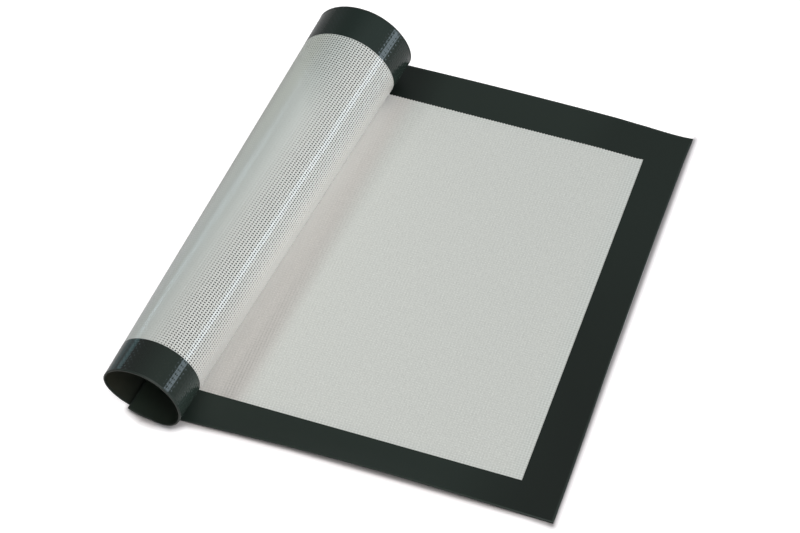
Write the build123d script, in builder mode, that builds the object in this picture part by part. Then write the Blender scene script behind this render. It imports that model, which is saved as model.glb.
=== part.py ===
# Silicone baking mat, lying flat with its left part rolled up loosely.
# A woven glass cloth sits between two silicone coats. A dark border layer goes round each face, and a
# thin seal closes the cut edges. +X runs from the roll to the flat end, +Y along the roll, +Z up.
import os
from math import atan2, cos, hypot, radians, sin, tan

from build123d import *

os.makedirs("parts", exist_ok=True)

# Sheet, laid out flat (mm)
sheet_length = 400.0
sheet_width = 300.0
border_width = 24.5
seal_width = 1.2

# Layers, from the underside up (mm)
lower_border_thickness = 0.15
lower_coat_thickness = 0.2
cloth_thickness = 0.3
upper_coat_thickness = 0.2
upper_border_thickness = 0.15

# Roll: three tangent bends, as radii of the underside at the near edge. Every radius grows by
# roll_growth on the way to the far edge, so the roll is looser there (mm)
left_radius = 21.0
top_radius = 33.2
roll_growth = 5.6
lap_clearance = 0.8
cut_margin_share = 0.25

# Where the bends change, as angles about their own centres seen from the near end (degrees)
floor_angle = -90.0
left_top_angle = 131.0
crown_angle = 90.0
band_angle = 37.5

# Heights of the layers above the underside
lower_border_top = lower_border_thickness
lower_coat_top = lower_border_top + lower_coat_thickness
cloth_top = lower_coat_top + cloth_thickness
upper_coat_top = cloth_top + upper_coat_thickness
sheet_thickness = upper_coat_top + upper_border_thickness
lap_height = sheet_thickness + lap_clearance
cut_margin = lap_clearance * cut_margin_share

# How far the line where the roll leaves the floor moves in +X on the way across the sheet, so that the
# sheet has the same length at both edges
turn = radians(360)
contact_shift = roll_growth * (turn - radians(band_angle))

# Directions: along the floor line under the roll, across the roll, and along the cones' common axis
skew = atan2(contact_shift, sheet_width)
slope = atan2(roll_growth, hypot(contact_shift, sheet_width))
across = Vector(cos(skew), -sin(skew), 0)
along_axis = Vector(sin(skew) * cos(slope), cos(skew) * cos(slope), sin(slope))
growth_rate = tan(slope)

# The right radius that carries the top bend on and sets the lap down on the floor layer
rise = sin(radians(left_top_angle))
right_radius = (top_radius * (1 - rise) + left_radius * (1 + rise) - lap_height / cos(slope)) / 2

left_sweep = 360.0 + floor_angle - left_top_angle
top_sweep = left_top_angle - crown_angle
right_sweep = crown_angle - floor_angle
bends_length = (
    left_radius * radians(left_sweep) + top_radius * radians(top_sweep) + right_radius * radians(right_sweep)
)
near_lap = border_width - right_radius * radians(band_angle)
far_lap = border_width - (right_radius + roll_growth) * radians(band_angle)
near_floor = sheet_length - bends_length - near_lap

# Bend centres in the section at the near edge, from the floor line
left_centre = (0, left_radius)
top_centre = (
    left_centre[0] + (left_radius - top_radius) * cos(radians(left_top_angle)),
    left_centre[1] + (left_radius - top_radius) * sin(radians(left_top_angle)),
)
right_centre = (top_centre[0], top_centre[1] + top_radius - right_radius)

# The sheet is centred on its own plan
plan_length = near_floor + left_radius
right_x = plan_length / 2
near_y = -sheet_width / 2
far_y = sheet_width / 2
contact = Vector(right_x - near_floor, near_y, 0)
section = Plane(origin=contact, x_dir=across, z_dir=-along_axis)


def floor_x(y, offset):
    """X at y of the line parallel to the floor line and offset across the roll from it."""
    start = contact + across * offset
    return start.X + (y - start.Y) * tan(skew)


def flat_piece(low, high, outline):
    with BuildPart() as made:
        with BuildSketch(Plane.XY.offset(low)):
            Polygon(*outline, align=None)
        extrude(amount=high - low)
    return made.part


def bend_piece(centre, radius, start, sweep, low, high):
    """A layer turned about the axis through centre, clockwise seen from the near end."""
    origin = section.from_local_coords((centre[0], centre[1], 0))
    outward = section.x_dir * cos(radians(start)) + section.y_dir * sin(radians(start))
    # past both edges, to be trimmed there
    first, last = -top_radius, sheet_width / cos(skew) + top_radius
    with BuildPart() as made:
        with BuildSketch(Plane(origin=origin, x_dir=outward, z_dir=outward.cross(along_axis))):
            Polygon(
                *[
                    (radius + growth_rate * station - height / cos(slope), station)
                    for station, height in ((first, low), (last, low), (last, high), (first, high))
                ],
                align=None,
            )
        revolve(axis=Axis(origin, along_axis), revolution_arc=sweep)
    return made.part


def layer(low, high, inset, on_band=False):
    """The part of the sheet between two heights above its underside, inset from its edges."""
    near, far = near_y + inset, far_y - inset
    last_sweep = right_sweep - band_angle if on_band else right_sweep
    pieces = [
        flat_piece(
            low, high,
            [(right_x - inset, near), (right_x - inset, far), (floor_x(far, 0), far), (floor_x(near, 0), near)],
        ),
        bend_piece(left_centre, left_radius, floor_angle, left_sweep, low, high),
        bend_piece(top_centre, top_radius, left_top_angle, top_sweep, low, high),
        bend_piece(right_centre, right_radius, crown_angle, last_sweep, low, high),
    ]
    if not on_band:
        start = [(floor_x(y, right_centre[0]), y) for y in (near, far)]
        share = inset / sheet_width
        near_end = near_lap + (far_lap - near_lap) * share - inset
        far_end = far_lap - (far_lap - near_lap) * share - inset
        free = [(start[0][0] - near_end, near), (start[1][0] - far_end, far)]
        pieces.append(flat_piece(lap_height + low, lap_height + high, [start[0], start[1], free[1], free[0]]))
    with BuildPart() as made:
        add(pieces)
        Box(plan_length * 2, far - near, plan_length, mode=Mode.INTERSECT)
    return made.part


with BuildPart() as glass_cloth:
    add(layer(lower_coat_top, cloth_top, seal_width))
glass_cloth.part.label = "glass_cloth"
export_step(glass_cloth.part, "parts/glass_cloth.step")

with BuildPart() as lower_silicone_coat:
    add(layer(lower_border_top, lower_coat_top, seal_width))
lower_silicone_coat.part.label = "lower_silicone_coat"
export_step(lower_silicone_coat.part, "parts/lower_silicone_coat.step")

with BuildPart() as upper_silicone_coat:
    add(layer(cloth_top, upper_coat_top, seal_width))
upper_silicone_coat.part.label = "upper_silicone_coat"
export_step(upper_silicone_coat.part, "parts/upper_silicone_coat.step")

# The border on the underside, which the mat rests on
lower_opening = layer(-cut_margin, lower_border_top + cut_margin, border_width, on_band=True)
with BuildPart() as lower_border:
    add(layer(0, lower_border_top, seal_width))
    add(lower_opening, mode=Mode.SUBTRACT)
lower_border.part.label = "lower_border"
export_step(lower_border.part, "parts/lower_border.step")

# The border on the working face
upper_opening = layer(upper_coat_top - cut_margin, sheet_thickness + cut_margin, border_width, on_band=True)
with BuildPart() as upper_border:
    add(layer(upper_coat_top, sheet_thickness, seal_width))
    add(upper_opening, mode=Mode.SUBTRACT)
upper_border.part.label = "upper_border"
export_step(upper_border.part, "parts/upper_border.step")

# The seal over the cut edges of all the layers
layers_inside = layer(-cut_margin, sheet_thickness + cut_margin, seal_width)
with BuildPart() as edge_seal:
    add(layer(0, sheet_thickness, 0))
    add(layers_inside, mode=Mode.SUBTRACT)
edge_seal.part.label = "edge_seal"
export_step(edge_seal.part, "parts/edge_seal.step")
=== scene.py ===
from math import cos, pi, radians, sin

import bpy
import numpy as np
from mathutils import Matrix, Vector


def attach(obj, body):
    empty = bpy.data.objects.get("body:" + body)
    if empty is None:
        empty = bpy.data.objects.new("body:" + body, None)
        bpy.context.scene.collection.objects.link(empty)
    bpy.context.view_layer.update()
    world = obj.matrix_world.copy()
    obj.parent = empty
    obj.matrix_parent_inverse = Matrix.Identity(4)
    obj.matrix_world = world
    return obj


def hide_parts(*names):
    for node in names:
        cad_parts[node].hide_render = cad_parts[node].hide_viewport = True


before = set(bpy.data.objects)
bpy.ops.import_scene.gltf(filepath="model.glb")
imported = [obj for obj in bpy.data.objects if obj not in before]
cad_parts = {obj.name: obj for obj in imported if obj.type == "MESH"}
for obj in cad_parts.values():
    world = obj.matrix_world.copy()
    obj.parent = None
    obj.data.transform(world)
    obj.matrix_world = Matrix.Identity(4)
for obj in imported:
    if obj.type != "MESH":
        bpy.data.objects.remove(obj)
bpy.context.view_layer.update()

# A silicone baking mat: a smooth sheet with a dark border, its left part rolled up loosely with the
# underside out. Lengths are in millimetres until they go into a mesh, a lamp or the camera.
MM = 0.001

# Sheet: s runs from the right edge towards the free edge in the roll, v from the near edge to the far
SHEET_LENGTH, SHEET_WIDTH = 408.5, 300.0
RIGHT_X = 134.03                      # the right edge in the part's frame
BORDER, SEAL = 24.5, 1.2              # widths of the border and of the seal round the edges
FIELD_END, FIELD_FAR = SHEET_LENGTH - BORDER, SHEET_WIDTH - BORDER
WEAVE_S, WEAVE_V = 1.838, 1.6733      # from one yarn to the next

# Heights above the underside of the faces of the layers, and of the lapped layer's underside
COAT_LOW, CLOTH_LOW, CLOTH_HIGH, COAT_HIGH, TOP = 0.15, 0.58, 0.66, 0.86, 1.0
LAP = 1.8

# Roll: where the underside leaves the floor, and its radius over each of the equal bends
NEAR_CONTACT, FAR_CONTACT = 243.4, 218.65
NEAR_RADII = (26.1, 20.9, 27.5, 24.2, 22.7, 22.1)
FAR_RADII = (24.6, 23.5, 37.4, 28.7, 25.5, 25.6)
BEND_ANGLE = 2 * pi / len(NEAR_RADII)
# The rims wander a little as the roll closes: how far, at even steps after the contact, and how much
# less of it there is at the far rim
DRIFT_STEP = 25.0
DRIFT = (0.0, -0.07, -0.98, -1.0, -0.78, -0.33, 2.59)
DRIFT_FADE = -0.26

# The flat part isn't quite flat: its long edges arch up off the floor
NEAR_ARCH, FAR_ARCH = 4.9, 1.4
ARCH_REACH, ARCH_END, ARCH_POWER = 26.0, 234.0, 1.3

# The edges and the border lines wander: places along each line, and how far it is from its even place
NEAR_EDGE = ((0, 1.9), (50, 1.7), (120, 1.3), (223, 0.9), (260, 0.0))
NEAR_LINE = ((25, -0.6), (100, -0.4), (220, -0.1), (260, 0.0))
FAR_LINE = ((25, -1.05), (40, -0.6), (55, -0.2), (100, -0.3), (220, -0.3), (260, 0.0))
FAR_EDGE = (
    (0, 0.35), (8, -0.3), (15, -0.15), (22, 0.1), (28, 0.5), (36, 0.65),
    (48, 1.1), (70, 1.2), (150, 1.0), (200, 0.8), (240, 0.0),
)
RIGHT_EDGE = ((0, 1.0), (30, 1.0), (120, -0.1), (160, -0.3), (230, -0.65), (280, -0.4), (300, 0.2))

# Weave: the openings of the cloth round the roll, as counts and as shares of the way between yarns, and
# the heights of the yarn that passes over, of the one under it and of the bottom of an open pit
PIT_ROWS, PIT_COLUMNS = 76, 150
PITS_FROM = FIELD_END - PIT_ROWS * WEAVE_S
OPENING_SHARE, BOTTOM_SHARE = 0.54, 0.84
OVER_HEIGHT, UNDER_HEIGHT, PIT_DEPTH = 0.1, 0.15, 0.54
# How open the pits are: nearly filled at least, and half open behind. They open and close over these
# places along s, and from the given v on they open further left
PITS_FILLED, PITS_BEHIND = 0.035, 0.45
BEHIND_ENDS, PITS_OPEN, PITS_CLOSE = (262, 285), (309, 331), (334, 361)
EARLY_FROM, EARLY_OVER, EARLY_MOST, EARLY_END_SHARE = 195, 75, 60, 1 / 3
# How much of the yarns' height shows: less on the left of the roll, and little low on its right
RELIEF_LEFT, RELIEF_LOST = 0.35, 0.9
RELIEF_RISES, RELIEF_FALLS = (302, 318), (338, 356)
# The weave in the thin border of the underside, and the far border line, which follows the yarns
BAND_RELIEF, BAND_UNDER, BAND_FADE = 0.12, 0.35, 10.0
BAND_SEEN = (284.0, 366.0)
SCALLOP, SCALLOP_REACH, SCALLOP_RISES = 0.75, 3.0, (0, 4)

# Grid steps
BENDS_FROM, FLAT_STEP, ROLL_STEP, ACROSS_STEP, FIELD_STEP = 200.0, 6.0, 2.0, 5.0, 8.0
RING_SIDE_STEP, RING_LINE_STEP, RING_LINE_END = 4.0, 1.0, 4.0
COAT_SIDE_STEP, COAT_FLAT_STEP, COAT_BEND_STEP, COAT_END_STEP = 12.0, 27.0, 3.6, 3.0
COAT_BENDS_BEFORE = 3.0
BACK_ROWS, BACK_COLUMNS = 4, 12       # the coat's hidden face has only every so many lines
BEAD_ROLL_STEP = 1.6
DRIFT_GRID, DRIFT_COLUMNS, DRIFT_PAST = 0.5, 31, 3
NORMAL_REACH = 0.3
TINY = 0.001

# Section of the bead: how far in from the edge, and the height
BEAD_IN = SEAL + 0.05
BEAD = (
    (BEAD_IN, 0.0), (0.26, 0.0), (0.11, 0.08), (0.03, 0.2), (0.0, 0.36),
    (0.0, 0.64), (0.03, 0.8), (0.11, 0.92), (0.26, TOP), (BEAD_IN, TOP),
)
SHARP, BEAD_SHARP = 50.0, 35.0        # degrees


def smooth(a, b, x):
    """From 0 at a to 1 at b, without corners."""
    t = np.clip((x - a) / (b - a), 0, 1)
    return t * t * (3 - 2 * t)


def read(table, at):
    """The values at some places, from a table of places and values."""
    return np.interp(at, *zip(*table))


def spline(knots, values, at):
    """Natural cubic spline through values at even knots."""
    n, h = len(knots), knots[1] - knots[0]
    a, b = np.eye(n), np.zeros(n)
    for i in range(1, n - 1):
        a[i, i - 1:i + 2] = 1, 4, 1
        b[i] = 6 * (values[i - 1] - 2 * values[i] + values[i + 1]) / h**2
    m = np.linalg.solve(a, b)
    at = np.clip(at, knots[0], knots[-1])
    i = np.clip(((at - knots[0]) / h).astype(int), 0, n - 2)
    t = (at - knots[0]) / h - i
    p, q = np.asarray(values)[i], np.asarray(values)[i + 1]
    return p * (1 - t) + q * t + h**2 / 6 * (((1 - t)**3 - (1 - t)) * m[i] + (t**3 - t) * m[i + 1])


def section(s, v):
    """x and z of the underside, before the drift."""
    share = np.clip(v / SHEET_WIDTH, 0, 1)
    contact = NEAR_CONTACT + (FAR_CONTACT - NEAR_CONTACT) * share
    x, z = -s, np.zeros_like(s)
    px, pz, angle, done = -contact, np.zeros_like(s), -pi / 2, contact
    first = NEAR_RADII[0] + (FAR_RADII[0] - NEAR_RADII[0]) * share
    for near, far in zip(NEAR_RADII, FAR_RADII):
        r = near + (far - near) * share
        cx, cz = px - r * cos(angle), pz - r * sin(angle)
        turned = angle - (s - done) / r
        x = np.where(s > done, cx + r * np.cos(turned), x)
        z = np.where(s > done, cz + r * np.sin(turned), z)
        angle -= BEND_ANGLE
        px, pz, done = cx + r * cos(angle), cz + r * sin(angle), done + r * BEND_ANGLE
    # the lap lies on the layer that it meets, first flat and then round that layer's bend
    along = px - (s - done)
    inner = first - LAP
    past = np.maximum(-contact - along, 0) / inner
    x = np.where(s > done, np.where(past > 0, -contact - inner * np.sin(past), along), x)
    z = np.where(s > done, np.where(past > 0, first - inner * np.cos(past), LAP), z)
    return x, z


def drift_table():
    """How far each point moves along the roll so that the sheet isn't sheared, on a grid of s and v."""
    s_at = np.arange(BENDS_FROM, SHEET_LENGTH + DRIFT_PAST, DRIFT_GRID)
    v_at = np.linspace(0, SHEET_WIDTH, DRIFT_COLUMNS)
    s, v = np.meshgrid(s_at, v_at, indexing="ij")
    x, z = section(s, v)
    ds, dv = s_at[1] - s_at[0], v_at[1] - v_at[0]
    xs, zs = np.gradient(x, ds, axis=0), np.gradient(z, ds, axis=0)
    xv, zv = np.gradient(x, dv, axis=1), np.gradient(z, dv, axis=1)
    moved = np.cumsum(-(xs * xv + zs * zv) * ds, 0)
    contact = NEAR_CONTACT + (FAR_CONTACT - NEAR_CONTACT) * v / SHEET_WIDTH
    knots = np.arange(len(DRIFT)) * DRIFT_STEP
    moved += spline(knots, DRIFT, s - contact) * (1 + DRIFT_FADE * (v / SHEET_WIDTH - 0.5))
    return s_at, v_at, moved


S_AT, V_AT, DRIFT_AT = drift_table()


def drift(s, v):
    """The drift table read between its places."""
    i = np.clip((s - S_AT[0]) / (S_AT[1] - S_AT[0]), 0, len(S_AT) - 1 - TINY)
    j = np.clip((v - V_AT[0]) / (V_AT[1] - V_AT[0]), 0, len(V_AT) - 1 - TINY)
    a, b = i.astype(int), j.astype(int)
    f, g, d = i - a, j - b, DRIFT_AT
    return (d[a, b] * (1 - f) + d[a + 1, b] * f) * (1 - g) + (d[a, b + 1] * (1 - f) + d[a + 1, b + 1] * f) * g


def lift(s, v):
    """How high the long edges of the flat part arch."""
    along = np.sin(pi * np.clip(s / ARCH_END, 0, 1)) ** ARCH_POWER
    near = NEAR_ARCH * along * np.clip(1 - v / ARCH_REACH, 0, None) ** 2
    far = FAR_ARCH * along * np.clip(1 - (SHEET_WIDTH - v) / ARCH_REACH, 0, None) ** 2
    return near + far


def even(s, v):
    """Moves a place on the even sheet to the real one, whose border lines and edges wander a little."""
    near_edge, near_line = read(NEAR_EDGE, s), BORDER + read(NEAR_LINE, s)
    far_line, far_edge = FIELD_FAR + read(FAR_LINE, s), SHEET_WIDTH + read(FAR_EDGE, s)
    low = near_edge + (near_line - near_edge) * v / BORDER
    mid = near_line + (far_line - near_line) * (v - BORDER) / (FIELD_FAR - BORDER)
    high = far_line + (far_edge - far_line) * (v - FIELD_FAR) / BORDER
    v = np.where(v < BORDER, low, np.where(v > FIELD_FAR, high, mid))
    return s - read(RIGHT_EDGE, v) * np.clip(1 - s / BORDER, 0, 1), v


def base(s, v):
    """The underside in the part's frame."""
    s, v = even(s, v)
    x, z = section(s, v)
    return np.stack([x + RIGHT_X, v + drift(s, v) - SHEET_WIDTH / 2, z + lift(s, v)], -1)


def surface(s, v, n):
    """The point n above the underside, on the side of the working face."""
    s, v, n = np.broadcast_arrays(*(np.asarray(a, float) for a in (s, v, n)))
    along_s = base(s + NORMAL_REACH, v) - base(s - NORMAL_REACH, v)
    along_v = base(s, v + NORMAL_REACH) - base(s, v - NORMAL_REACH)
    normal = np.cross(along_v, along_s)
    normal /= np.linalg.norm(normal, axis=-1)[..., None]
    return base(s, v) + normal * n[..., None]


def stations(*runs):
    """Even steps of about each step from each start to the next: (start, step), ..., end."""
    made = []
    for (start, step), following in zip(runs, runs[1:]):
        end = following[0] if isinstance(following, tuple) else following
        made.append(np.linspace(start, end, max(1, round((end - start) / step)) + 1)[:-1])
    return np.append(np.concatenate(made), runs[-1])


def corners_of(grid):
    """The four corners of each cell, in order round it."""
    return grid[:-1, :-1], grid[:-1, 1:], grid[1:, 1:], grid[1:, :-1]


def quads(a, b, c, d, where):
    return np.stack([a[where], b[where], c[where], d[where]], -1)


def flat_list(*parts):
    """Arrays with the same last axis, one after the other in one list of rows."""
    joined = np.stack(parts, -1)
    return joined.reshape(-1, joined.shape[-1])


def add_values(mesh, name, values):
    """A value for each vertex, for the materials."""
    mesh.attributes.new(name, "FLOAT", "POINT").data.foreach_set("value", values.ravel().astype(np.float32))


def piece(name, points, faces, sheet, materials, which=None, depth=None, sharp=SHARP):
    """A mesh from points in mm, with the sheet's own coordinates as a map."""
    used = np.zeros(len(points), bool)
    for f in faces:
        used[f] = True
    number = np.cumsum(used) - 1
    points, sheet = points[used], np.asarray(sheet, np.float32)[used]
    mesh = bpy.data.meshes.new(name)
    mesh.from_pydata((points * MM).tolist(), [], [number[f].tolist() for f in faces])
    corners = np.empty(len(mesh.loops), int)
    mesh.loops.foreach_get("vertex_index", corners)
    mesh.uv_layers.new(name="sheet").uv.foreach_set("vector", sheet[corners].ravel())
    if depth is not None:
        add_values(mesh, "depth", depth[used])
    for m in materials:
        mesh.materials.append(m)
    if which is not None:
        mesh.polygons.foreach_set("material_index", np.asarray(which, np.int32))
    mesh.polygons.foreach_set("use_smooth", np.ones(len(mesh.polygons), bool))
    mesh.set_sharp_from_angle(angle=radians(sharp))
    mesh.update()
    made = bpy.data.objects.new(name, mesh)
    bpy.context.scene.collection.objects.link(made)
    return made


def slab(name, s_at, v_at, low, high, material, inside=None, shift=None):
    """A closed layer over the cells of a grid. low and high are heights or functions of s and v."""
    s, v = np.meshgrid(s_at, v_at, indexing="ij")
    if shift is not None:
        v = v + shift(s, v)
    heights = [h(s, v) if callable(h) else np.full(s.shape, h) for h in (low, high)]
    if inside is None:
        inside = np.ones((len(s_at) - 1, len(v_at) - 1), bool)
    grid = np.arange(s.size).reshape(s.shape)
    points = np.concatenate([surface(s, v, h).reshape(-1, 3) for h in heights])
    sheet = np.tile(flat_list(s, v), (2, 1))
    a, b, c, d = corners_of(grid + s.size)
    p, q, r, t = corners_of(grid)
    padded = np.pad(inside, 1)
    before_s, after_s = inside & ~padded[:-2, 1:-1], inside & ~padded[2:, 1:-1]
    before_v, after_v = inside & ~padded[1:-1, :-2], inside & ~padded[1:-1, 2:]
    faces = [
        quads(a, b, c, d, inside), quads(t, r, q, p, inside),
        quads(p, q, b, a, before_s), quads(d, c, r, t, after_s),
        quads(a, d, t, p, before_v), quads(q, r, c, b, after_v),
    ]
    return piece(name, points, np.concatenate(faces), sheet, [material])


def openings(start, pitch, count):
    """Both sides of each opening in a row of them."""
    middles = start + pitch * (np.arange(count) + 0.5)
    return flat_list(middles - pitch * OPENING_SHARE / 2, middles + pitch * OPENING_SHARE / 2).ravel()


def openness(s, v):
    """How open the pits are: well open over the crown of the roll, and nearly filled on its left and
    where it comes down again. Near the far border they are open from further left."""
    behind = PITS_BEHIND * (1 - smooth(*BEHIND_ENDS, s))
    early = np.clip((v - EARLY_FROM) / EARLY_OVER, 0, None) ** 2 * EARLY_MOST
    risen = smooth(PITS_OPEN[0] - early, PITS_OPEN[1] - early * EARLY_END_SHARE, s)
    return PITS_FILLED + behind + (1 - PITS_FILLED) * risen * (1 - smooth(*PITS_CLOSE, s))


def fewer(length, start, end, step):
    """All the lines before start and from end on, and between them every so many."""
    kept = [k for k in range(length) if k < start or k >= end or (k - start) % step == 0]
    return np.array(sorted(set(kept) | {length - 1}))


def pitted_coat(name, materials):
    """The coat on the underside. Round the roll it has a pit in each opening of the cloth, down past
    the yarns, and the yarn that passes over stands a little higher."""
    rows, columns = openings(PITS_FROM, WEAVE_S, PIT_ROWS), openings(BORDER, WEAVE_V, PIT_COLUMNS)
    bends_from = FAR_CONTACT - COAT_BENDS_BEFORE
    before = stations(
        (SEAL, COAT_SIDE_STEP), (BORDER, COAT_FLAT_STEP), (bends_from, COAT_BEND_STEP), PITS_FROM
    )
    after = stations((FIELD_END, COAT_END_STEP), SHEET_LENGTH - SEAL)
    s_at = np.concatenate([before, rows, after])
    sides = stations((SEAL, COAT_SIDE_STEP), BORDER)
    v_at = np.concatenate([sides, columns, (SHEET_WIDTH - sides)[::-1]])
    s, v = np.meshgrid(s_at, v_at, indexing="ij")
    i0, j0 = len(before), len(sides)
    i, j = np.meshgrid(np.arange(len(s_at)) - i0, np.arange(len(v_at)) - j0, indexing="ij")
    woven = (i >= 0) & (i < len(rows)) & (j >= 0) & (j < len(columns))
    over = ((i + 1) // 2 + (j + 1) // 2) % 2 == 0
    relief = RELIEF_LEFT + (1 - RELIEF_LEFT) * smooth(*RELIEF_RISES, s)
    relief *= 1 - RELIEF_LOST * smooth(*RELIEF_FALLS, s)
    raised = np.where(over, COAT_LOW - OVER_HEIGHT, COAT_LOW - UNDER_HEIGHT)
    low = np.where(woven, COAT_LOW - relief * raised, COAT_LOW)
    points, sheet, depth = [surface(s, v, low).reshape(-1, 3)], [flat_list(s, v)], [np.zeros(s.size)]
    grid = np.arange(s.size).reshape(s.shape)
    opening = (woven & (i % 2 == 0) & (j % 2 == 0))[:-1, :-1]
    p, q, r, t = corners_of(grid)
    rim = [corner[opening] for corner in (p, q, r, t)]
    lattice = quads(t, r, q, p, ~opening)

    # the pits, each with four walls and a bottom
    count, first, sides_of_pit = len(rim[0]), s.size, len(rim)
    rim_s, rim_v = (np.stack([a.ravel()[g] for g in rim]) for a in (s, v))
    pit_s = rim_s.mean(0) + (rim_s - rim_s.mean(0)) * BOTTOM_SHARE
    pit_v = rim_v.mean(0) + (rim_v - rim_v.mean(0)) * BOTTOM_SHARE
    open_share = openness(rim_s.mean(0), rim_v.mean(0))
    bottom = UNDER_HEIGHT + (PIT_DEPTH - UNDER_HEIGHT) * open_share
    points.append(surface(pit_s, pit_v, bottom).reshape(-1, 3))
    sheet.append(flat_list(pit_s, pit_v))
    depth.append(np.tile(open_share, sides_of_pit))
    pit = [first + k * count + np.arange(count) for k in range(sides_of_pit)]
    walls = []
    for k in range(sides_of_pit):
        after_k = (k + 1) % sides_of_pit
        walls.append(np.stack([rim[after_k], rim[k], pit[k], pit[after_k]], -1))
    bottoms = np.stack(pit[::-1], -1)

    # the other face, on fewer lines, and the walls round the edge
    keep_s = fewer(len(s_at), i0, i0 + len(rows), BACK_ROWS)
    keep_v = fewer(len(v_at), j0, j0 + len(columns), BACK_COLUMNS)
    first += sides_of_pit * count
    s_few, v_few = np.meshgrid(s_at[keep_s], v_at[keep_v], indexing="ij")
    points.append(surface(s_few, v_few, CLOTH_LOW).reshape(-1, 3))
    sheet.append(flat_list(s_few, v_few))
    depth.append(np.zeros(s_few.size))
    back_grid = first + np.arange(s_few.size).reshape(s_few.shape)
    a, b, c, d = corners_of(back_grid)
    back_face = quads(a, b, c, d, np.ones(a.shape, bool))
    edge_walls = []
    for k, (f0, f1) in enumerate(zip(keep_s, keep_s[1:])):
        edge_walls.append([back_grid[k, 0], back_grid[k + 1, 0], *grid[f0:f1 + 1, 0][::-1]])
        edge_walls.append([*grid[f0:f1 + 1, -1], back_grid[k + 1, -1], back_grid[k, -1]])
    for k, (f0, f1) in enumerate(zip(keep_v, keep_v[1:])):
        edge_walls.append([*grid[0, f0:f1 + 1], back_grid[0, k + 1], back_grid[0, k]])
        edge_walls.append([back_grid[-1, k], back_grid[-1, k + 1], *grid[-1, f0:f1 + 1][::-1]])

    plain = np.concatenate([lattice, back_face])
    faces = [*plain, *edge_walls, *np.concatenate(walls), *bottoms]
    which = [0] * (len(plain) + len(edge_walls)) + [1] * ((sides_of_pit + 1) * count)
    points, sheet, depth = (np.concatenate(parts) for parts in (points, sheet, depth))
    return piece(name, points, faces, sheet, materials, which, depth=depth)


def seal(name, material):
    """The bead round the sheet's edge, swept along its outline with square corners."""
    along_s = stations((0.0, FLAT_STEP), (BENDS_FROM, BEAD_ROLL_STEP), SHEET_LENGTH)
    along_v = stations((0.0, FLAT_STEP), SHEET_WIDTH)
    path = [(s, 0.0, 0, 1) for s in along_s[1:-1]]
    path += [(SHEET_LENGTH, 0.0, -1, 1)] + [(SHEET_LENGTH, v, -1, 0) for v in along_v[1:-1]]
    path += [(SHEET_LENGTH, SHEET_WIDTH, -1, -1)] + [(s, SHEET_WIDTH, 0, -1) for s in along_s[-2:0:-1]]
    path += [(0.0, SHEET_WIDTH, 1, -1)] + [(0.0, v, 1, 0) for v in along_v[-2:0:-1]] + [(0.0, 0.0, 1, 1)]
    path = np.array(path)
    inwards, height = np.array(BEAD).T
    s = path[:, 0, None] + path[:, 2, None] * inwards
    v = path[:, 1, None] + path[:, 3, None] * inwards
    points = surface(s, v, np.broadcast_to(height, s.shape)).reshape(-1, 3)
    grid = np.arange(s.size).reshape(s.shape)
    onwards, round_it = np.roll(grid, -1, 0), np.roll(grid, -1, 1)
    faces = flat_list(grid, round_it, np.roll(onwards, -1, 1), onwards)
    return piece(name, points, faces, flat_list(s, v), [material], sharp=BEAD_SHARP)


def on_frame(s_at, v_at):
    """Which cells of a grid lie on the border."""
    s, v = (s_at[:-1] + s_at[1:]) / 2, (v_at[:-1] + v_at[1:]) / 2
    return ~(((s > BORDER) & (s < FIELD_END))[:, None] & ((v > BORDER) & (v < FIELD_FAR))[None, :])


def weave_relief(s, v):
    """The cloth shows through the thin border on the underside, as a bump where each pair of yarns crosses."""
    across, along = np.cos(pi * s / WEAVE_S) ** 2, np.cos(pi * v / WEAVE_V) ** 2
    over = np.where((np.round(s / WEAVE_S) + np.round(v / WEAVE_V)) % 2 == 0, 1.0, BAND_UNDER)
    return BAND_RELIEF * smooth(PITS_FROM - BAND_FADE, PITS_FROM, s) * (1 - across * along * over)


def scallop(s, v):
    """The far border line follows the yarns."""
    near_line = np.clip(1 - np.abs(v - FIELD_FAR) / SCALLOP_REACH, 0, 1)
    return -SCALLOP * near_line * np.abs(np.sin(pi * s / WEAVE_S)) * smooth(*SCALLOP_RISES, s - BORDER)


# Shader nodes. A value is a number or a socket.

def material(name, colour, roughness, specular):
    m = bpy.data.materials.new(name)
    m.use_nodes = True
    shader = m.node_tree.nodes["Principled BSDF"]
    shader.inputs["Base Color"].default_value = (*colour, 1)
    shader.inputs["Roughness"].default_value = roughness
    shader.inputs["Specular IOR Level"].default_value = specular
    return m, m.node_tree, shader


def node(tree, kind, **settings):
    made = tree.nodes.new(kind)
    for key, value in settings.items():
        setattr(made, key, value)
    return made


def maths(tree, operation, *values, clamp=False):
    made = node(tree, "ShaderNodeMath", operation=operation, use_clamp=clamp)
    for socket, value in zip(made.inputs, values):
        if isinstance(value, (int, float)):
            socket.default_value = value
        else:
            tree.links.new(value, socket)
    return made.outputs[0]


def times(tree, a, b):
    return maths(tree, "MULTIPLY", a, b)


def plus(tree, a, b, clamp=False):
    return maths(tree, "ADD", a, b, clamp=clamp)


def minus(tree, a, b, clamp=False):
    return maths(tree, "SUBTRACT", a, b, clamp=clamp)


def larger(tree, a, b):
    return maths(tree, "MAXIMUM", a, b)


def mix(tree, share, a, b):
    """From colour a to colour b by share. A colour is a tuple or a socket."""
    made = node(tree, "ShaderNodeMix", data_type="RGBA")
    tree.links.new(share, made.inputs[0])
    for socket, colour in ((made.inputs[6], a), (made.inputs[7], b)):
        if isinstance(colour, tuple):
            socket.default_value = (*colour, 1)
        else:
            tree.links.new(colour, socket)
    return made.outputs[2]


def scaled(colour, share):
    return tuple(c * share for c in colour)


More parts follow.
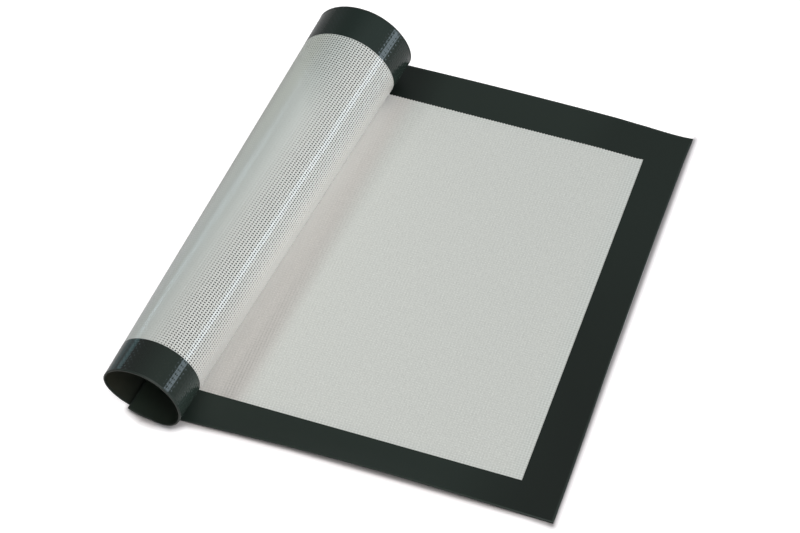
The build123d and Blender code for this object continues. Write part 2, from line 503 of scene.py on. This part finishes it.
def ramp(tree, value, start, end, before=0.0, after=1.0):
    """From one value to the other between start and end, without corners."""
    made = node(tree, "ShaderNodeMapRange", interpolation_type="SMOOTHSTEP")
    tree.links.new(value, made.inputs["Value"])
    limits = (("From Min", start), ("From Max", end), ("To Min", before), ("To Max", after))
    for socket, number in limits:
        made.inputs[socket].default_value = number
    return made.outputs["Result"]


def noise(tree, where, scale, detail):
    made = node(tree, "ShaderNodeTexNoise")
    made.inputs["Scale"].default_value = scale
    made.inputs["Detail"].default_value = detail
    tree.links.new(where, made.inputs["Vector"])
    return made.outputs["Fac"]


def stretched(tree, where, along_s, along_v):
    made = node(tree, "ShaderNodeMapping")
    made.inputs["Scale"].default_value = (along_s, along_v, 1)
    tree.links.new(where, made.inputs["Vector"])
    return made.outputs[0]


def bump(tree, shader, height, strength, distance):
    made = node(tree, "ShaderNodeBump")
    made.inputs["Strength"].default_value = strength
    made.inputs["Distance"].default_value = distance
    tree.links.new(height, made.inputs["Height"])
    tree.links.new(made.outputs[0], shader.inputs["Normal"])


def sheet_place(tree):
    """The sheet's own coordinates, in mm: both together, s and v."""
    own = node(tree, "ShaderNodeUVMap", uv_map="sheet")
    parts = node(tree, "ShaderNodeSeparateXYZ")
    tree.links.new(own.outputs[0], parts.inputs[0])
    return own.outputs[0], parts.outputs[0], parts.outputs[1]


def wave(tree, place, pitch):
    """From 0 between two yarns to 1 on a yarn."""
    turned = times(tree, place, 2 * pi / pitch)
    return maths(tree, "MULTIPLY_ADD", maths(tree, "COSINE", turned), 0.5, 0.5)


def painted(tree, shader, colour):
    tree.links.new(colour, shader.inputs["Base Color"])


# Colours. The coats differ a little from place to place, some of it painted light and shade, and the
# border is nearly black
# The last yarn colour, for low on the roll's right, is paler and warmer: painted light from the flat part
YARN, YARN_LEFT, YARN_LOW_LIT = (0.62, 0.628, 0.6), (0.60, 0.643, 0.615), (0.705, 0.685, 0.645)
# The roll's left edge is paler and greener: painted light
LIT_EDGE_NEAR, LIT_EDGE_FAR = (0.735, 0.785, 0.77), (0.66, 0.71, 0.652)
FIELD, BY_BORDER = (0.543, 0.555, 0.525), (0.565, 0.60, 0.575)
# Painted shade beside the roll, and painted light at the roll's foot
ROLL_SHADE, FOOT_LIGHT = (0.497, 0.479, 0.455), (0.96, 0.94, 0.90)
# The bottoms of the pits are near black: painted shade
PIT_WALL, PIT_SHADE = (0.14, 0.15, 0.145), (0.025, 0.03, 0.028)
BLACK, NO_COLOUR = (0.015, 0.0225, 0.0185), (0.0, 0.0, 0.0)
# Inside the roll the border is a little lighter and browner: painted light
INSIDE_LIT, INSIDE_LOW_LIT = (0.03, 0.032, 0.024), (0.02, 0.029, 0.022)
# Two lines on the near band's left are painted highlights; the far band's left is greener
NEAR_LEFT_HIGHLIGHT, FAR_LEFT = (0.025, 0.054, 0.056), (0.0155, 0.025, 0.0215)
# A painted highlight on the bead round the roll's rims, and the bead's pale grey part on the right edge
RIM_HIGHLIGHT_DIM, RIM_HIGHLIGHT_BRIGHT, PALE_GREY = (0.028, 0.034, 0.028), (0.052, 0.06, 0.052), (0.3, 0.305, 0.3)
GLASS, GLASS_GAP, GLASS_YARN = (0.8, 0.81, 0.78), (0.45, 0.46, 0.44), (0.82, 0.83, 0.80)

# Below, a ramp is the place where it starts, the place where it ends and, unless they are 0 and 1, its
# values before and after, along s or v. A finish is roughness and specular level. A bump is strength and
# distance in metres.

# Working face
FIELD_FINISH, FIELD_BUMP, STREAKS_IN_BUMP = (0.42, 0.4), (0.3, 0.00008), 0.5
SPECKS, STREAKS, GRAIN, GAPS = 0.26, 0.25, 0.74, 0.36
STREAK_STRETCH, STREAK_NOISE, GRAIN_NOISE = (1.1, 0.2), (1.0, 2.0), (1.0, 3.0)
FIELD_RANGE, ROLL_SHADE_RANGE = (0.69, 1.33), (0.69, 1.31)
DARKER_RIGHT = (20.0, 180.0, -0.11, 0.01)
# Where the painted shade beside the roll and the painted light at its foot lie
ROLL_SHADE_SLANT, ROLL_SHADE_RAMP = 0.0825, (190.0, 204.0)
ROLL_SLANT, FOOT_LIGHT_RAMP, FOOT_LIGHT_FADES = 0.1455, (216.0, 236.0), (180.0, 280.0, 1.0, 0.75)
FOLD_RISES, FOLD_FALLS, FOLD_FADES = (199.0, 207.0), (210.0, 218.0, 1.0, 0.0), (20.0, 160.0, 0.38, 0.2)
STRIP_FAR, STRIP_NEAR, STRIP_RIGHT = (267.0, 276.0, 0.0, 0.6), (24.0, 32.0, 0.6, 0.0), (25.0, 38.0, 1.0, 0.0)
STRIP_TINT = 0.25


def field_top():
    """Faint specks where the yarns cross, and fine streaks along the yarns that run with the roll. By the
    border the openings between the yarns show. Beside the roll, where the sheet starts to bend, painted shade
    makes the coat a little darker and pinker and the streaks show more, and at the roll's foot painted light
    makes it paler."""
    m, tree, shader = material("field_top", FIELD, *FIELD_FINISH)
    where, s, v = sheet_place(tree)
    yarn_s, yarn_v = wave(tree, s, WEAVE_S), wave(tree, v, WEAVE_V)
    specks = times(tree, maths(tree, "POWER", yarn_s, 2.0), maths(tree, "POWER", yarn_v, 2.0))
    streaks = noise(tree, stretched(tree, where, *STREAK_STRETCH), *STREAK_NOISE)
    grain = noise(tree, where, *GRAIN_NOISE)
    beside = ramp(tree, plus(tree, s, times(tree, v, ROLL_SHADE_SLANT)), *ROLL_SHADE_RAMP)
    to_roll = plus(tree, s, times(tree, v, ROLL_SLANT))
    foot = times(tree, ramp(tree, to_roll, *FOOT_LIGHT_RAMP), ramp(tree, v, *FOOT_LIGHT_FADES))
    fold = times(tree, ramp(tree, to_roll, *FOLD_RISES), ramp(tree, to_roll, *FOLD_FALLS))
    folded_yarns = times(tree, yarn_s, times(tree, fold, ramp(tree, v, *FOLD_FADES)))
    share = plus(tree, times(tree, specks, SPECKS), times(tree, streaks, STREAKS))
    share = plus(tree, share, times(tree, grain, GRAIN))
    share = plus(tree, share, ramp(tree, s, *DARKER_RIGHT))
    share = minus(tree, share, folded_yarns, clamp=True)
    by_border = larger(tree, ramp(tree, v, *STRIP_FAR), ramp(tree, v, *STRIP_NEAR))
    by_border = larger(tree, by_border, ramp(tree, s, *STRIP_RIGHT))
    gaps = times(tree, minus(tree, 1.0, yarn_s), minus(tree, 1.0, yarn_v))
    share = minus(tree, share, times(tree, times(tree, gaps, by_border), GAPS), clamp=True)
    plain = mix(tree, share, *(scaled(FIELD, part) for part in FIELD_RANGE))
    plain = mix(tree, times(tree, by_border, STRIP_TINT), plain, BY_BORDER)
    # Painted shade beside the roll, and painted light at its foot
    roll_shade_and_light = mix(tree, share, *(scaled(ROLL_SHADE, part) for part in ROLL_SHADE_RANGE))
    roll_shade_and_light = mix(tree, foot, roll_shade_and_light, FOOT_LIGHT)
    painted(tree, shader, mix(tree, beside, plain, roll_shade_and_light))
    bump(tree, shader, plus(tree, specks, times(tree, streaks, STREAKS_IN_BUMP)), *FIELD_BUMP)
    return m


# Underside
UNDER_FINISH, PIT_FINISH, PIT_FALL = (0.13, 0.55), (0.5, 0.2), 0.7
# Ramps for the painted light on the roll's left edge, the painted shade past the crown, and the painted light
# low down with painted shade over it
LIT_EDGE_TO_FAR, LIT_EDGE_TO_LEFT, LEFT_TO_YARN = (40.0, 230.0), (288.0, 300.0), (300.0, 326.0)
CROWN_SHADE_RAMP, CROWN_SHADE_OVER_V = (329.0, 342.0), (30.0, 140.0, 0.93, 1.0)
LOW_RAMP, LOW_OVER_V, LOW_SHADE_RANGE = (338.0, 350.0), (25.0, 135.0), (0.86, 0.99)
LOW_BACK, LOW_TO_FAR, LOW_FAR_SHADE = (355.0, 364.0, 0.0, 0.7), (225.0, 262.0), 0.94
MOTTLE, MOTTLE_NOISE = 0.13, (0.9, 3.0)


def under_colour(tree, where, s, v):
    """The coat on the underside: greener on the roll's left, with painted light making its left edge paler and
    greener; painted shade past the crown near the near end; and low down a warm painted light from the flat
    part, with painted shade over it near the near end and towards the far end."""
    edge = mix(tree, ramp(tree, v, *LIT_EDGE_TO_FAR), LIT_EDGE_NEAR, LIT_EDGE_FAR)
    edge = mix(tree, ramp(tree, s, *LIT_EDGE_TO_LEFT), edge, YARN_LEFT)
    left = mix(tree, ramp(tree, s, *LEFT_TO_YARN), edge, YARN)
    # Painted shade past the crown near the near end
    crown_shade = minus(tree, 1.0, ramp(tree, v, *CROWN_SHADE_OVER_V))
    crown = mix(tree, times(tree, ramp(tree, s, *CROWN_SHADE_RAMP), crown_shade), left, NO_COLOUR)
    # Painted light low down, with painted shade over it near the near end and towards the far end
    low = mix(tree, ramp(tree, v, *LOW_OVER_V), *(scaled(YARN_LOW_LIT, part) for part in LOW_SHADE_RANGE))
    low = mix(tree, ramp(tree, s, *LOW_BACK), low, YARN_LOW_LIT)
    low = mix(tree, ramp(tree, v, *LOW_TO_FAR), low, scaled(YARN_LOW_LIT, LOW_FAR_SHADE))
    colour = mix(tree, ramp(tree, s, *LOW_RAMP), crown, low)
    return mix(tree, times(tree, noise(tree, where, *MOTTLE_NOISE), MOTTLE), colour, NO_COLOUR)


def field_under():
    m, tree, shader = material("field_under", YARN, *UNDER_FINISH)
    painted(tree, shader, under_colour(tree, *sheet_place(tree)))
    return m


def field_pit():
    """The wall of a pit has the yarn's colour at its top and darkens towards the bottom: painted shade in the
    pits, darkest where they are most open."""
    m, tree, shader = material("field_pit", PIT_WALL, *PIT_FINISH)
    down = node(tree, "ShaderNodeAttribute", attribute_name="depth").outputs["Fac"]
    colour = under_colour(tree, *sheet_place(tree))
    # Painted shade in the pits
    painted(tree, shader, mix(tree, maths(tree, "POWER", down, PIT_FALL), colour, PIT_SHADE))
    return m


# Borders
SPECKLE, SPECKLE_NOISE, SPECKLE_IN_BUMP, BORDER_RANGE = 0.3, (2.2, 4.0), 0.2, (0.35, 1.3)
ROUGHER, ROUGH_NOISE, BORDER_BUMP = 0.08, (0.35, 3.0), (0.3, 0.0001)
TOP_WEAVE, TOP_ROUGH, TOP_GLOSS = 0.15, 0.34, 0.24
UNDER_WEAVE, UNDER_ROUGH, UNDER_GLOSS = 0.2, 0.1, 0.38
DRIFT_RIGHT, DRIFT_NEAR = (5.0, 80.0, 0.0, 0.5), (60.0, 260.0, 0.0, 0.3)
SHADE_S, SHADE_V = (152.0, 180.0), (240.0, 280.0)
# Where the painted light inside the roll lies
INSIDE_LIT_RAMP, INSIDE_LOW_LIT_RAMP = (243.0, 275.0), (340.0, 370.0)
# Painted light on the band round the roll's top and low on its right
CROWN_LIGHT, RIGHT_LOW_LIGHT = (304.0, 330.0, 0.0, 0.45), (345.0, 357.0, 0.0, 0.55)
LEFT_DULLER = (302.0, 316.0, 0.12, UNDER_GLOSS)
LINE_ENDS, LINE_FADES = (293.0, 298.0, 0.36, 0.0), (100.0, 200.0, 1.0, 0.0)
# The near band's two lines on the left are painted highlights
NEAR_LEFT_HIGHLIGHT_ENDS, NEAR_LEFT_HIGHLIGHT_V = (305.5, 307.5, 1.0, 0.0), (24.0, 60.0, 1.0, 0.0)
BETWEEN_RISES, BETWEEN_FALLS = (299.5, 301.5, 0.0, 0.6), (302.5, 304.5, 1.0, 0.0)
FAR_LEFT_ENDS, FAR_LEFT_V = (318.0, 340.0, 1.0, 0.0), (268.0, 276.0)


def border(name, weave, rough_low, gloss, paler, tinted, gloss_of=None):
    """paler gives how far the colour is on its way from dark to pale at each place, and tinted turns it
    to other colours at some places; both carry painted light and shade as well as the border's own tone.
    gloss_of gives the specular level where it differs."""
    m, tree, shader = material(name, BLACK, rough_low, gloss)
    where, s, v = sheet_place(tree)
    speckle = noise(tree, where, *SPECKLE_NOISE)
    share = plus(tree, paler(tree, s, v), times(tree, speckle, SPECKLE), clamp=True)
    colour = mix(tree, share, *(scaled(BLACK, part) for part in BORDER_RANGE))
    painted(tree, shader, tinted(tree, s, v, colour))
    if gloss_of is not None:
        tree.links.new(gloss_of(tree, s, v), shader.inputs["Specular IOR Level"])
    rough = maths(tree, "MULTIPLY_ADD", noise(tree, where, *ROUGH_NOISE), ROUGHER, rough_low)
    tree.links.new(rough, shader.inputs["Roughness"])
    yarns = times(tree, wave(tree, s, WEAVE_S), wave(tree, v, WEAVE_V))
    height = maths(tree, "MULTIPLY_ADD", yarns, weave, times(tree, speckle, SPECKLE_IN_BUMP))
    bump(tree, shader, height, *BORDER_BUMP)
    return m


def top_paler(tree, s, v):
    """Darker at the right edge and, at the far side, in the shade of the roll."""
    across = larger(tree, ramp(tree, s, *DRIFT_RIGHT), ramp(tree, v, *DRIFT_NEAR))
    shade = times(tree, ramp(tree, s, *SHADE_S), ramp(tree, v, *SHADE_V))
    return times(tree, across, minus(tree, 1.0, shade))


def top_inside_light(tree, s, v, colour):
    """Inside the roll the face is a little lighter and browner, and greener where it turns to the floor:
    painted light inside the roll.
    """
    inside = mix(tree, ramp(tree, s, *INSIDE_LOW_LIT_RAMP), INSIDE_LIT, INSIDE_LOW_LIT)
    return mix(tree, ramp(tree, s, *INSIDE_LIT_RAMP), colour, inside)


def under_painted_light(tree, s, v):
    """Painted light: paler round the roll's top, and again low down on its right."""
    return plus(tree, ramp(tree, s, *CROWN_LIGHT), ramp(tree, s, *RIGHT_LOW_LIGHT))


def under_tint_and_highlights(tree, s, v, colour):
    """Greener on the left of the roll: at the near end in two lines, which are painted highlights, and at the
    far end all over.
    """
    between = times(tree, ramp(tree, s, *BETWEEN_RISES), ramp(tree, s, *BETWEEN_FALLS))
    lines = minus(tree, ramp(tree, s, *NEAR_LEFT_HIGHLIGHT_ENDS), between)
    colour = mix(tree, times(tree, ramp(tree, v, *NEAR_LEFT_HIGHLIGHT_V), lines), colour, NEAR_LEFT_HIGHLIGHT)
    far_left = times(tree, ramp(tree, v, *FAR_LEFT_V), ramp(tree, s, *FAR_LEFT_ENDS))
    return mix(tree, far_left, colour, FAR_LEFT)


def under_gloss(tree, s, v):
    """Duller on the left of the roll, but for the bright line there near the near end."""
    line = times(tree, ramp(tree, s, *LINE_ENDS), ramp(tree, v, *LINE_FADES))
    return plus(tree, ramp(tree, s, *LEFT_DULLER), line)


# Bead
BEAD_FINISH, RIM_HIGHLIGHT_NOISE = (0.45, 0.3), (1.5, 3.0)
# Where the bead's painted highlight round the rims lies
RIM_HIGHLIGHT_RISES, RIM_HIGHLIGHT_FALLS = (250.0, 285.0), (350.0, 380.0, 1.0, 0.2)
NEAR_MIDDLE, FAR_MIDDLE = (0.02, 0.08, 1.0, 0.0), (SHEET_WIDTH - 0.08, SHEET_WIDTH - 0.02)
PALE_GREY_FROM, PALE_GREY_TO, PALE_GREY_MIDDLE = (60.0, 120.0), (190.0, 250.0, 1.0, 0.0), (0.08, 0.2, 1.0, 0.0)


def edge():
    """The bead is dark on the flat part, with a painted highlight along the middle round the rims of the roll.
    Along part of the right edge its middle is pale grey."""
    m, tree, shader = material("edge_silicone", BLACK, *BEAD_FINISH)
    where, s, v = sheet_place(tree)
    # Painted highlight round the rims of the roll
    rim_highlight = times(tree, ramp(tree, s, *RIM_HIGHLIGHT_RISES), ramp(tree, s, *RIM_HIGHLIGHT_FALLS))
    rim_highlight = times(tree, rim_highlight, larger(tree, ramp(tree, v, *NEAR_MIDDLE), ramp(tree, v, *FAR_MIDDLE)))
    paler = mix(tree, noise(tree, where, *RIM_HIGHLIGHT_NOISE), RIM_HIGHLIGHT_DIM, RIM_HIGHLIGHT_BRIGHT)
    pale_grey = times(tree, ramp(tree, v, *PALE_GREY_FROM), ramp(tree, v, *PALE_GREY_TO))
    pale_grey = times(tree, pale_grey, ramp(tree, s, *PALE_GREY_MIDDLE))
    painted(tree, shader, mix(tree, pale_grey, mix(tree, rim_highlight, BLACK, paler), PALE_GREY))
    return m


# Cloth
GLASS_FINISH, GLASS_BUMP = (0.4, 0.5), (0.6, 0.0002)


def woven_glass():
    m, tree, shader = material("woven_glass", GLASS, *GLASS_FINISH)
    where, s, v = sheet_place(tree)
    yarns = larger(tree, wave(tree, s, WEAVE_S), wave(tree, v, WEAVE_V))
    painted(tree, shader, mix(tree, yarns, GLASS_GAP, GLASS_YARN))
    bump(tree, shader, yarns, *GLASS_BUMP)
    return m


# The layers
cloth_s = stations((SEAL, FLAT_STEP), (BENDS_FROM, ROLL_STEP), SHEET_LENGTH - SEAL)
cloth_v = stations((SEAL, ACROSS_STEP), SHEET_WIDTH - SEAL)
cloth = slab("woven_cloth", cloth_s, cloth_v, CLOTH_LOW, CLOTH_HIGH, woven_glass())
lower_coat = pitted_coat("lower_coat", [field_under(), field_pit()])
upper_coat = slab("upper_coat", cloth_s, cloth_v, CLOTH_HIGH, COAT_HIGH, field_top())

ring_s = stations(
    (SEAL, FLAT_STEP), (BORDER, WEAVE_S / 4), (BENDS_FROM, WEAVE_S), (FIELD_END, ROLL_STEP),
    SHEET_LENGTH - SEAL,
)
ring_v = stations(
    (SEAL, RING_SIDE_STEP), (BORDER, FIELD_STEP), (FIELD_FAR, RING_LINE_STEP),
    (FIELD_FAR + RING_LINE_END, RING_SIDE_STEP), SHEET_WIDTH - SEAL,
)
top_border = slab(
    "top_border", ring_s, ring_v, COAT_HIGH, TOP,
    border("border_top", TOP_WEAVE, TOP_ROUGH, TOP_GLOSS, top_paler, top_inside_light),
    inside=on_frame(ring_s, ring_v), shift=scallop,
)
band_s = stations(
    (SEAL, FLAT_STEP), (BORDER, FIELD_STEP), (PITS_FROM, WEAVE_S / 2), (BAND_SEEN[0], WEAVE_S / 4),
    (BAND_SEEN[1], WEAVE_S / 2), (FIELD_END, WEAVE_S / 2), SHEET_LENGTH - SEAL,
)
band_v = stations(
    (SEAL, WEAVE_V / 4), (BORDER, FIELD_STEP), (FIELD_FAR, WEAVE_V / 4), SHEET_WIDTH - SEAL,
)
under_border = slab(
    "under_border", band_s, band_v, weave_relief, COAT_LOW,
    border("border_under", UNDER_WEAVE, UNDER_ROUGH, UNDER_GLOSS, under_painted_light, under_tint_and_highlights, under_gloss),
    inside=on_frame(band_s, band_v),
)
edge_bead = seal("edge_bead", edge())

for made, stands_for, finish in (
    (cloth, "glass_cloth", "cloth"),
    (lower_coat, "lower_silicone_coat", "field_silicone"),
    (upper_coat, "upper_silicone_coat", "field_silicone"),
    (under_border, "lower_border", "border_silicone"),
    (top_border, "upper_border", "border_silicone"),
    (edge_bead, "edge_seal", "border_silicone"),
):
    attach(made, "root")
    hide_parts(stands_for)


def placed(place, *axes):
    """The matrix of an object at a place in mm, with its own axes along the given ones."""
    return Matrix.Translation(Vector(place) * MM) @ Matrix(axes).transposed().to_4x4()


# Camera, at the photograph's place
PHOTO_WIDTH, FOCAL_PIXELS, SENSOR_WIDTH = 800, 3230.0, 36.0
CAMERA_PLACE = (373.72, -1125.65, 1528.45)
CAMERA_ELEVATION, CAMERA_AZIMUTH = 52.181, 18.654
camera_data = bpy.data.cameras.new("camera")
camera_data.sensor_width = SENSOR_WIDTH
camera_data.lens = FOCAL_PIXELS / PHOTO_WIDTH * SENSOR_WIDTH
camera_data.clip_start, camera_data.clip_end = 0.05, 50.0
camera = bpy.data.objects.new("camera", camera_data)
bpy.context.scene.collection.objects.link(camera)
bpy.context.scene.camera = camera
elevation, azimuth = radians(CAMERA_ELEVATION), radians(CAMERA_AZIMUTH)
back = Vector((sin(azimuth) * cos(elevation), -cos(azimuth) * cos(elevation), sin(elevation)))
right = Vector((0, 0, 1)).cross(back).normalized()
camera.matrix_world = placed(CAMERA_PLACE, right, back.cross(right), back)

# Floor. Where the mat is on it, and at distances from there how much white is added to the floor, and how
# much it is darkened by a painted shadow: little white close by, where the contact shadow stays, and enough
# further out for a plain white ground
FOOTPRINT = (
    (134.4, -148.8), (134, 150), (-97, 150.5), (-119, -150.5), (-111, -154.5), (-103, -155.4), (-94, -154.9),
    (-86, -150), (-60, -148), (-20, -146.5), (40, -147), (95, -148),
)
WHITE = 0.82
NEAR_GROUND = (
    (0, 0.0, 0.5), (1, 0.0, 0.35), (2, 0.1, 0.1), (3, 0.27, 0), (4, 0.5, 0), (5, 0.73, 0), (6, WHITE, 0),
)
RIGHT_GROUND = (
    (0, 0, 0.8), (1.1, 0, 0.6), (1.8, 0, 0.32), (2.4, 0.02, 0.18), (3.1, 0.13, 0.1), (3.7, 0.37, 0.04),
    (4.4, 0.7, 0), (5.2, WHITE, 0),
)
RIGHT_SIDE, FAR_SIDE, FAR_CORNER = (126, 134), (147, 151), (132, 135)
FLOOR_REACH, FLOOR_BELOW = 6000.0, 0.2
FAR_OUT = (-FLOOR_REACH, FLOOR_REACH)
FLOOR_X = (FAR_OUT, (-140.0, 1.0), (-84.0, 12.0), (131.0, 0.5), (144.0, FLOOR_REACH), FLOOR_REACH)
FLOOR_Y = (FAR_OUT, (-168.0, 0.5), (-146.0, 12.0), (148.0, 0.5), (162.0, FLOOR_REACH), FLOOR_REACH)
FLOOR_LIT, FLOOR_UNDER_WHITE, FLOOR_SHADE = (0.95, 0.915, 0.925), (0.35, 0.35, 0.35), (0.1, 0.09, 0.09)
GLOW = (1.0, 0.98, 0.985, 1)
# How much of the floor's glow and of the walls shows in reflections
FLOOR_MIRRORED, WALLS_MIRRORED = 0.2, 0.1


def background_rays(tree, in_reflections):
    """1 where a ray shows the background, and as much as given where it is mirrored."""
    path = node(tree, "ShaderNodeLightPath")
    mirrored = times(tree, path.outputs["Is Glossy Ray"], in_reflections)
    seen = larger(tree, path.outputs["Is Camera Ray"], mirrored)
    return larger(tree, seen, path.outputs["Is Transmission Ray"])


def floor_material():
    m = bpy.data.materials.new("floor")
    m.use_nodes = True
    tree = m.node_tree
    tree.nodes.clear()
    diffuse = node(tree, "ShaderNodeBsdfDiffuse")
    glow = node(tree, "ShaderNodeEmission")
    glow.inputs["Color"].default_value = GLOW
    white = node(tree, "ShaderNodeAttribute", attribute_name="white").outputs["Fac"]
    shade = node(tree, "ShaderNodeAttribute", attribute_name="shade").outputs["Fac"]
    lit = mix(tree, white, FLOOR_LIT, FLOOR_UNDER_WHITE)
    # Close to the mat the floor's colour darkens: a painted shadow
    tree.links.new(mix(tree, shade, lit, FLOOR_SHADE), diffuse.inputs["Color"])
    tree.links.new(times(tree, background_rays(tree, FLOOR_MIRRORED), white), glow.inputs["Strength"])
    both, out = node(tree, "ShaderNodeAddShader"), node(tree, "ShaderNodeOutputMaterial")
    tree.links.new(diffuse.outputs[0], both.inputs[0])
    tree.links.new(glow.outputs[0], both.inputs[1])
    tree.links.new(both.outputs[0], out.inputs["Surface"])
    return m


def from_footprint(x, y):
    """How far each point is outside the footprint, and 0 inside it."""
    nearest, crossings = np.full(x.shape, np.inf), np.zeros(x.shape, int)
    for (ax, ay), (bx, by) in zip(FOOTPRINT, FOOTPRINT[1:] + FOOTPRINT[:1]):
        dx, dy = bx - ax, by - ay
        share = np.clip(((x - ax) * dx + (y - ay) * dy) / (dx**2 + dy**2), 0, 1)
        nearest = np.minimum(nearest, np.hypot(x - ax - share * dx, y - ay - share * dy))
        crossings += ((ay > y) != (by > y)) & (x < ax + (y - ay) / dy * dx)
    return np.where(crossings % 2 == 1, 0, nearest)


def make_floor():
    x, y = np.meshgrid(stations(*FLOOR_X), stations(*FLOOR_Y), indexing="ij")
    points = flat_list(x, y, np.zeros(x.shape)) * MM
    p, q, r, t = corners_of(np.arange(x.size).reshape(x.shape))
    mesh = bpy.data.meshes.new("floor")
    mesh.from_pydata(points.tolist(), [], quads(t, r, q, p, np.ones(p.shape, bool)).tolist())
    away = from_footprint(x, y)
    to_right, behind = smooth(*RIGHT_SIDE, x), smooth(*FAR_SIDE, y) * (1 - smooth(*FAR_CORNER, x))
    for name, place, far_value in (("white", 1, WHITE), ("shade", 2, 0)):
        near, at_right = (
            read([(row[0], row[place]) for row in ground], away) for ground in (NEAR_GROUND, RIGHT_GROUND)
        )
        value = near + (at_right - near) * to_right
        add_values(mesh, name, value + (far_value - value) * behind)
    mesh.materials.append(floor_material())
    floor = bpy.data.objects.new("floor", mesh)
    floor.location.z = -FLOOR_BELOW * MM
    bpy.context.scene.collection.objects.link(floor)


make_floor()

# The studio's walls are white low down and fade between these heights of the direction to them, and the
# ceiling is dim
CEILING = 0.32
WALLS_END = (0.3, 0.55)
world = bpy.data.worlds.new("world")
bpy.context.scene.world = world
world.use_nodes = True
tree = world.node_tree
background = tree.nodes["Background"]
background.inputs["Color"].default_value = (1, 1, 1, 1)
toward = node(tree, "ShaderNodeSeparateXYZ")
tree.links.new(node(tree, "ShaderNodeTexCoord").outputs["Generated"], toward.inputs[0])
wall = ramp(tree, toward.outputs[2], *WALLS_END, 1.0 - CEILING, 0.0)
level = plus(tree, times(tree, background_rays(tree, WALLS_MIRRORED), wall), CEILING)
tree.links.new(level, background.inputs["Strength"])


def lamp(name, aim, direction, distance, along, size, length, power, colour):
    """A rectangular soft light seen from aim in a direction, its long side along the given one. mm and W."""
    data = bpy.data.lights.new(name, "AREA")
    data.shape, data.size, data.size_y = "RECTANGLE", size * MM, length * MM
    data.energy, data.color = power, colour
    made = bpy.data.objects.new(name, data)
    made.visible_camera = False
    z = Vector(direction).normalized()
    y = (Vector(along) - z * Vector(along).dot(z)).normalized()
    made.matrix_world = placed(Vector(aim) + z * distance, y.cross(z), y, z)
    bpy.context.scene.collection.objects.link(made)


lamp(
    "key", aim=(-20, 0, 0), direction=(0.22, -0.2, 1), distance=2400, along=(0, 1, 0),
    size=1700, length=1700, power=34, colour=(1.0, 0.985, 0.965),
)
lamp(
    "fill", aim=(-60, 0, 0), direction=(0.8, -0.6, 0.32), distance=2000, along=(0, 0, 1),
    size=1500, length=1500, power=16, colour=(1.0, 0.975, 0.95),
)
lamp(
    "strip", aim=(-75, -20, 43), direction=(0.815, 0.405, 0.41), distance=1500, along=(0.02, 0.956, -0.29),
    size=320, length=1500, power=6.9, colour=(0.72, 0.87, 1.0),
)
lamp(
    "left", aim=(-110, -50, 45), direction=(-0.805, 0.585, 0.12), distance=1430, along=(0.398, 0.329, 0.857),
    size=80, length=850, power=0.75, colour=(0.72, 0.92, 1.0),
)

bpy.context.scene.view_settings.view_transform = "Standard"
